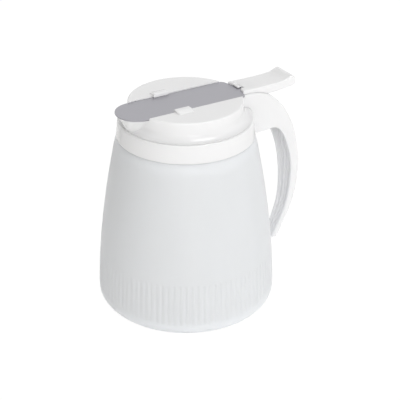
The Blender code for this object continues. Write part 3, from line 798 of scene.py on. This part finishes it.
def leaning_cone(foot_x, foot_z, foot_radius, top_radius):
    """A cone from a foot on the jar's middle plane to the spout's mouth."""
    let_go()
    top_x, top_z = spout_top
    bpy.ops.mesh.primitive_cone_add(
        vertices=spout_sides,
        radius1=foot_radius,
        radius2=top_radius,
        depth=top_z - foot_z,
        location=at(foot_x, 0, (foot_z + top_z) / 2),
    )
    bpy.ops.object.transform_apply(location=True, rotation=True, scale=True)
    bpy.ops.object.mode_set(mode="EDIT")
    pick(lambda vertex: vertex.co.z > (foot_z + top_z) / 2)
    bpy.ops.transform.translate(value=(top_x - foot_x, 0, 0))
    bpy.ops.object.mode_set(mode="OBJECT")
    return bpy.context.object


def lug(side):
    """A lug that stands on the disc and reaches over the gate's edge, with rounded shoulders."""
    under, root = lid_top - lug_under, lid_top - lug_root
    ends = []
    for x, share in lug_rounding:
        crest = lid_top + lug_height * share
        inside = lug_inside + lug_draw_in * (1 - share)
        outside = lug_outside - lug_draw_out * (1 - share)
        outline = [(inside, under), (lug_stand, under), (lug_stand, root), (outside, root)]
        outline += [(outside, lid_top + 0.0002), (outside - 0.0016, crest - 0.0006), (0.0184, crest)]
        outline += [(inside + 0.0008, crest), (inside + 0.0002, crest - 0.0002), (inside, crest - 0.0008)]
        ends.append([at(x, side * y, z) for y, z in outline])
    return swept("lug", ends)


shaped(lid, leaning_cone(*spout_outside), "UNION")
shaped(lid, brick((-beyond, -channel_half, floor_z), (beyond, channel_half, lid_top + above)))
shaped(lid, lug(1), "UNION")
shaped(lid, lug(-1), "UNION")
shaped(lid, leaning_cone(*spout_inside))
print("lid has", len(lid.data.polygons), "faces so far")

# %% [markdown]
# The handle's two screws go in from inside the lid, so each needs a wide way for its head and a narrow
# one for its shank. They are drilled with rods. The edges of the whole lid are rounded last, as a mould
# would leave them, because rounding each feature alone would leave their meeting lines sharp.

# %% Ways for the handle's screws
screw_y, screw_z = 0.0072, 0.1502
head_way, shank_way = (0.0339, 0.0389, 0.0029), (0.0380, 0.0514, 0.0016)
lid_edge, lid_edge_degrees = 0.0003, 48
for y in (screw_y, -screw_y):
    shaped(lid, rod(*head_way, y, screw_z))
    shaped(lid, rod(*shank_way, y, screw_z))
closed(lid)
eased(lid, lid_edge, lid_edge_degrees)
closed(lid)
settled(lid, "lid", white_plastic, "white_plastic", "lid_body")

# %% [markdown]
# The handle is a channel section that follows the hand, open towards the jar, with two ribs inside. Its
# sections are laid along smooth curves through a few outer and inner points, and it tapers towards the
# free tip. A bent bar could be bevelled along a curve instead, but then the web at the top wouldn't
# spread towards the jar.

# %% Handle's sections
handle_points = (
    ((0.0395, 0.1560), (0.0395, 0.1439), 0.0110),
    ((0.0523, 0.1554), (0.0480, 0.1435), 0.0110),
    ((0.0635, 0.1520), (0.0486, 0.1340), 0.0110),
    ((0.0720, 0.1454), (0.0523, 0.1249), 0.0110),
    ((0.0791, 0.1373), (0.0580, 0.1229), 0.0110),
    ((0.0852, 0.1266), (0.0714, 0.1232), 0.0110),
    ((0.0905, 0.1125), (0.0805, 0.1125), 0.0109),
    ((0.0955, 0.0874), (0.0879, 0.0874), 0.0100),
    ((0.0937, 0.0543), (0.0873, 0.0536), 0.0073),
    ((0.0814, 0.0226), (0.0763, 0.0240), 0.0054),
)
handle_wall, handle_round, handle_edge, channel_edge = 0.0022, 0.0022, 0.0005, 0.0004
roof_z, tip_hollow, inner_rib = 0.1495, 0.0006, 0.0010
hollow_start, hollow_reach, ribs_start = 5.6, 3.2, 4.4
rib_places, rib_foot, rib_crest = (-0.36, 0.36), 0.1, 0.05
rounding_angles = (0.39, 0.78, 1.18)


def smooth(values, place):
    """A value on the smooth curve through the given ones, at a place counted in steps between them."""
    last = len(values) - 1
    i = min(int(place), last - 1)
    t = place - i
    a, b, c, d = (values[max(0, min(last, i + k))] for k in (-1, 0, 1, 2))
    return b + 0.5 * t * (c - a + t * (2 * a - 5 * b + 4 * c - d + t * (3 * (b - c) + d - a)))


def share_of(value):
    """A number kept between nothing and one."""
    return min(1.0, max(0.0, value))


outer_x, outer_z = [[point[0][k] for point in handle_points] for k in (0, 1)]
inner_x, inner_z = [[point[1][k] for point in handle_points] for k in (0, 1)]
half_width = [point[2] for point in handle_points]


def handle_section(place):
    """The channel's closed outline at a place along the handle, from the jar's side round to it again."""
    outside = Vector((smooth(outer_x, place), smooth(outer_z, place)))
    inside = Vector((smooth(inner_x, place), smooth(inner_z, place)))
    half = smooth(half_width, place)
    inwards = (inside - outside).normalized()
    depth = (inside - outside).length
    floor_depth = max(handle_wall, (outside.y - roof_z) / max(0.3, -inwards.y))
    floor_depth += (depth - tip_hollow - floor_depth) * share_of((place - hollow_start) / hollow_reach)
    rib = min(inner_rib, 0.5 * (depth - floor_depth)) * max(0.05, share_of(2 * (place - ribs_start)))
    bore = half - handle_wall
    line = [(depth - handle_edge, half), (handle_round, half)]
    for angle in rounding_angles:
        across = half - handle_round + handle_round * math.cos(angle)
        line.append((handle_round - handle_round * math.sin(angle), across))
    line.append((0.0, half - handle_round))
    near = [(distance, -y) for distance, y in reversed(line)]
    path = [(depth, half - handle_edge)] + line + near + [(depth, handle_edge - half)]
    wall = [(depth, bore + channel_edge), (depth - channel_edge, bore)]
    wall += [(floor_depth + channel_edge, bore), (floor_depth, bore - channel_edge)]
    path += [(distance, -y) for distance, y in wall]
    for y in rib_places:
        path += [(floor_depth, (y - rib_foot) * bore), (floor_depth + rib, (y - rib_crest) * bore)]
        path += [(floor_depth + rib, (y + rib_crest) * bore), (floor_depth, (y + rib_foot) * bore)]
    path += reversed(wall)
    section = []
    for distance, y in path:
        spot = outside + inwards * distance
        section.append(at(spot.x, y, spot.y))
    return section


# %% [markdown]
# The sections are swept from the jar's side to the free tip. Three smaller copies of the last one round
# the tip off, which stays cleaner here than bevelling an end with so many corners.

# %% Handle's channel
section_steps = 72
tip_rounding = ((0.0005, 0.93), (0.0008, 0.84), (0.0010, 0.70))
last_place = len(handle_points) - 1
sections = [handle_section(last_place * i / section_steps) for i in range(section_steps + 1)]
tip = sections[-1]
tip_middle = sum(tip, Vector()) / len(tip)
tip_way = (tip_middle - sum(sections[-2], Vector()) / len(tip)).normalized()
for onwards, size in tip_rounding:
    sections.append([tip_middle + tip_way * onwards + (point - tip_middle) * size for point in tip])
handle = swept("handle_channel", sections)
print("handle swept through", len(sections), "sections")

# %% [markdown]
# Inside, the handle gets a front wall with two screw bosses, and a seat with a nub for the spring. It
# then loses the room that the jar, the collar and the lid's cove need, a slot for the lever's keel and
# the screws' holes. They are plain bricks and a rod, joined so that the handle stays one moulding.

# %% Handle's fittings
handle_inside, boss_half, keel_slot_half = 0.0099, 0.00245, 0.0033
front_wall = (0.0396, -handle_inside, 0.1470), (0.0463, handle_inside, 0.1540)
boss_start, boss_end, boss_low, boss_top = 0.0440, 0.0530, 0.1473, 0.1530
seat_line = ((0.0708, 0.1366), (0.0730, 0.1366), (0.0730, 0.1428), (0.0708, 0.1446))
shaped(handle, brick(*front_wall), "UNION")
for y in (screw_y, -screw_y):
    boss = brick((boss_start, y - boss_half, boss_low), (boss_end, y + boss_half, boss_top))
    shaped(handle, boss, "UNION")
seat_ends = [[at(x, y, z) for x, z in seat_line] for y in (-handle_inside, handle_inside)]
shaped(handle, swept("seat", seat_ends), "UNION")

# %% [markdown]
# The room is one turned tool with the outlines of the jar, the collar and the cove, with a small gap at
# the jar and the collar and none at the lid, so that the handle's flanks follow all three closely and
# touch only the lid. Three Booleans could do the same, but each would leave its own sharp line.

# %% Handle's room, slot and holes
room_low, room_top, jar_room, collar_room, seam = 0.1190, 0.1700, 0.0005, 0.0001, 0.00002
room_line = [(0.0, room_low)]
room_line += [(jar_side(z) + jar_room, z) for z in (room_low, 0.1225, 0.1260, shoulder_low)]
room_line += [(collar_foot + jar_room, collar_low)]
room_line += bow(round_centre, collar_round + collar_room, 0, 90, 5)
room_line += [(cove_centre[0] - collar_room, collar_top + collar_room)]
room_line += bow(cove_centre, cove_round + seam, 270, 180, 14)
room_line += [(lid_wall - seam, room_top), (0.0, room_top)]
shaped(handle, turned("room", room_line, round_steps))

spring_start, spring_end, spring_z = 0.0546, 0.0705, 0.1410
spring_nub, screw_hole = (0.0682, 0.0718, 0.0022), (0.0385, 0.0499, 0.0012)
keel_slot = (0.0467, -keel_slot_half, 0.1480), (0.0630, keel_slot_half, room_top)
shaped(handle, brick(*keel_slot))
shaped(handle, rod(*spring_nub, 0.0, spring_z), "UNION")
for y in (screw_y, -screw_y):
    shaped(handle, rod(*screw_hole, y, screw_z))
closed(handle)
settled(handle, "lid", white_plastic, "white_plastic", "handle_shell")

# %% [markdown]
# The gate is one outline of thin sheet: a half round front, straight sides, a rear edge that follows the
# lid, and a tongue with a window that the lever's keel drops through. Its edges are slightly broken, as
# after tumbling. It could be cut from a brick, but one outline keeps its rounded corners exact.

# %% Steel gate
gate_low, gate_top = floor_z + 0.0003, floor_z + 0.0011
gate_front, gate_half, gate_rear = -0.038, 0.0160, 0.0429
corner_x, corner_round, corner_end, corner_gap = 0.0380, 0.0018, 18, 2
tongue_x, tongue_half, tongue_round = 0.0530, 0.0060, 0.0015
window = (0.0467, -0.0030, 0.15), (0.0518, 0.0030, 0.17)
gate_edge, gate_edge_degrees = 0.00012, 50
side_angle = math.degrees(math.asin(gate_half / gate_rear)) - corner_gap
tongue_angle = math.degrees(math.asin(tongue_half / gate_rear))

far_side = bow((tongue_x, tongue_half - tongue_round), tongue_round, 0, 90, 5)
far_side += bow((0, 0), gate_rear, tongue_angle, side_angle, 12)
far_side += bow((corner_x, gate_half - corner_round), corner_round, corner_end, 90, 6)
near_side = [(x, -y) for x, y in reversed(far_side)]
gate_line = bow((gate_front, 0.0), gate_half, 90, 270, 48) + near_side + far_side
gate = swept("gate_plate", [[at(x, y, z) for x, y in gate_line] for z in (gate_low, gate_top)])
shaped(gate, brick(*window))
eased(gate, gate_edge, gate_edge_degrees)
settled(gate, "gate", sheet_steel, "steel", "cutoff_slide")

# %% [markdown]
# The thumb lever is a curved bar that rises to a tip for the thumb. Its rounded front follows the gate's
# rear edge and straddles the tongue. A small nose half fills the notch between its arms, and its keel
# goes down through the gate's window into the handle. It could be bevelled along a curve, but its top and
# its underside don't run alike.

# %% Thumb lever
lever_points = (
    (0.0410, 0.1591, 0.15615),
    (0.0520, 0.1588, 0.15555),
    (0.0585, 0.1588, 0.15415),
    (0.0650, 0.1588, 0.15240),
    (0.0767, 0.1595, 0.1533),
    (0.0841, 0.16198, 0.1543),
    (0.0867, 0.1603, 0.1549),
)
lever_half, lever_round, lever_edge, lever_steps = 0.0105, 0.0012, 0.0004, 50
lever_x, lever_top, lever_under = [[point[k] for point in lever_points] for k in range(3)]


def lever_section(place):
    """The lever's outline at a place along it, with rounded upper edges."""
    x, above, below = (smooth(line, place) for line in (lever_x, lever_top, lever_under))
    right = [(lever_half - lever_edge, below), (lever_half, below + lever_edge)]
    right.append((lever_half, above - lever_round))
    for angle in rounding_angles:
        across = lever_half - lever_round + lever_round * math.cos(angle)
        right.append((across, above - lever_round + lever_round * math.sin(angle)))
    right.append((lever_half - lever_round, above))
    left = [(-y, z) for y, z in reversed(right)]
    return [at(x, y, z) for y, z in right + left]


stations = [(len(lever_points) - 1) * i / lever_steps for i in range(lever_steps + 1)]
lever = swept("lever_bar", [lever_section(place) for place in stations])
print("lever swept through", len(stations), "sections")

# %% [markdown]
# The lever's front is trimmed by a turned tool with a rounded rim. The tongue's room and the notch are
# cut out before the nose and the keel are joined on, so that neither is cut. One small bevel at the end
# breaks all the edges alike.

# %% Lever's front, nose and keel
front_radius, front_z, tool_low, tool_top = 0.0430, 0.1578, 0.135, 0.170
on_gate = gate_top + 0.0001
tongue_room = (0.03, -0.0063, 0.14), (0.0548, 0.0063, on_gate)
notch = (0.03, -0.0050, 0.14), (0.0458, 0.0050, 0.18)
nose_corners = (0.0426, -0.0012, on_gate), (0.0476, 0.0054, gate_top + 0.0015)
keel = (0.0470, -0.0027, 0.1495), (0.0515, 0.0027, gate_top + 0.0008)
nose_round, bar_edge, bar_edge_degrees = 0.0008, 0.00025, 45
front_line = [(0.0, tool_low), (front_radius, tool_low)]
front_line += bow((front_radius + lever_round, front_z), lever_round, 180, 90, 6)
front_line += [(front_radius + lever_round, tool_top), (0.0, tool_top)]
shaped(lever, turned("front_round", front_line, round_steps))
shaped(lever, brick(*tongue_room))
shaped(lever, brick(*notch))
nose = brick(*nose_corners)
eased(nose, nose_round, segments=4)
shaped(lever, nose, "UNION")
shaped(lever, brick(*keel), "UNION")
eased(lever, bar_edge, bar_edge_degrees)
settled(lever, "gate", white_plastic, "white_plastic", "thumb_lever")

# %% [markdown]
# The seal is a soft ring with a rounded back. It lies on the jar's rim and goes up with the lid. A torus
# would nearly do, but it would be round below, and this ring lies flat.

# %% Seal ring
seal_inside, seal_outside, seal_round, seal_edge = 0.0431, flange_radius, 0.0008, 0.0001
seal_low, seal_bend, seal_steps = rim_z + 0.0003, rim_z + 0.0010, 160
seal_line = bow((seal_outside - seal_round, seal_bend), seal_round, 0, 90, 5)
seal_line += bow((seal_inside + seal_round, seal_bend), seal_round, 90, 180, 5)
seal_line += [(seal_inside, seal_low + seal_edge), (seal_inside + seal_edge, seal_low)]
seal_line += [(seal_outside - seal_edge, seal_low), (seal_outside, seal_low + seal_edge), seal_line[0]]
seal = turned("seal_ring", seal_line, seal_steps)
settled(seal, "lid", pale_rubber, "seal_rubber", "jar_gasket")

# %% [markdown]
# Three screws hold the mechanism together: two from inside the lid into the handle, and one up into the
# lever's keel. Each is turned with a domed head and a ridged shank, and then a cross is cut into its
# head. The ridges are rings and no true thread, which can't be told apart at this size and keeps the mesh
# closed.

# %% Screws
ridge_pitch, ridge_slope, ridge_root = 0.0005, 0.0003, 0.82
cross_long, cross_wide, cross_depth, screw_steps = 0.6, 0.13, 0.6, 32
lid_screw_x, lid_screw_sizes = 0.0372, (0.0026, 0.0014, 0.0013, 0.0114)
keel_screw_place, keel_screw_sizes = (0.04925, 0.0, 0.1463), (0.0018, 0.0008, 0.0010, 0.0065)


def screw(name, place, axis, head, head_height, shank, length):
    """A screw whose head starts at place and whose shank runs along the axis."""
    line = [(0.0, 0.0), (0.55 * head, 0.0001), (0.85 * head, 0.25 * head_height), (head, 0.6 * head_height)]
    line += [(head, head_height), (shank, head_height)]
    along = head_height + 0.0004
    while along < length - 0.0011:
        line += [(ridge_root * shank, along), (shank, along + ridge_slope)]
        along += ridge_pitch
    line += [(0.8 * shank, length - 0.0003), (0.0, length)]
    piece = turned(name, line, screw_steps, place, axis)
    onwards = Vector(axis)
    start = Vector(place) - onwards * 0.0005
    end = Vector(place) + onwards * cross_depth * head_height
    for one, other in ((cross_long, cross_wide), (cross_wide, cross_long)):
        arm = Vector((0, one, other)) if axis[0] else Vector((one, other, 0))
        shaped(piece, brick(start - arm * head, end + arm * head))
    return piece


for number, y in ((1, screw_y), (2, -screw_y)):
    fixing = screw(f"lid_screw_{number}", (lid_screw_x, y, screw_z), (1, 0, 0), *lid_screw_sizes)
    settled(fixing, "lid", bright_steel, "steel", f"handle_screw_{number}")
fixing = screw("keel_screw", keel_screw_place, (0, 0, 1), *keel_screw_sizes)
settled(fixing, "gate", bright_steel, "steel", "follower_screw")

# %% [markdown]
# The return spring is a wire circle wound round the slide's direction by a Screw modifier. Its first and
# last coils are then drawn together, as on a real compression spring. A curve with a round bevel could be
# wound too, but here every point's place along the axis has to be set.

# %% Return spring
coils, coil_steps, coil_radius, wire, wire_points = 6, 40, 0.0036, 0.0004, 10
closed_pitch, pitch_gain = 0.16, 12
steps = coils * coil_steps

let_go()
bpy.ops.mesh.primitive_circle_add(vertices=wire_points, radius=wire, rotation=(math.pi / 2, 0, 0))
spring = bpy.context.object
spring.name = "spring_coil"
bpy.ops.object.transform_apply(location=True, rotation=True, scale=True)
bpy.ops.object.mode_set(mode="EDIT")
bpy.ops.mesh.select_all(action="SELECT")
bpy.ops.transform.translate(value=(0, 0, coil_radius))
bpy.ops.object.mode_set(mode="OBJECT")
step = spring.modifiers.new("wind", "SCREW")
step.axis = "X"
step.angle = 2 * math.pi * coils
step.screw_offset = 0.0
step.steps = steps
step.render_steps = steps
step.use_merge_vertices = False
bpy.ops.object.modifier_apply(modifier=step.name)

places = [0.0]
for i in range(steps):
    part = (i + 0.5) / steps
    opening = share_of(pitch_gain * (min(part, 1 - part) - 1 / coils))
    places.append(places[-1] + closed_pitch + (1 - closed_pitch) * opening)
reach = spring_end - spring_start - 2 * wire
for vertex in spring.data.vertices:
    vertex.co.x += wire + reach * places[min(vertex.index // wire_points, steps)] / places[-1]
    vertex.co += at(spring_start, 0, spring_z)
take_up(spring)
bpy.ops.object.mode_set(mode="EDIT")
bpy.ops.mesh.select_all(action="SELECT")
bpy.ops.mesh.fill_holes(sides=0)
faced_outwards()
settled(spring, "lid", bright_steel, "steel", "return_spring")
at(spring_end, 0, spring_z)
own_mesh(spring)

# %% [markdown]
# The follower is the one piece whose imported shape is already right: a moulded foot under the keel that
# pushes on the spring. It keeps that shape and gets the white finish.

# %% Follower's finish
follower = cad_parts["spring_follower"]
follower.data.materials.clear()
follower.data.materials.append(white_plastic)
print("follower finished")
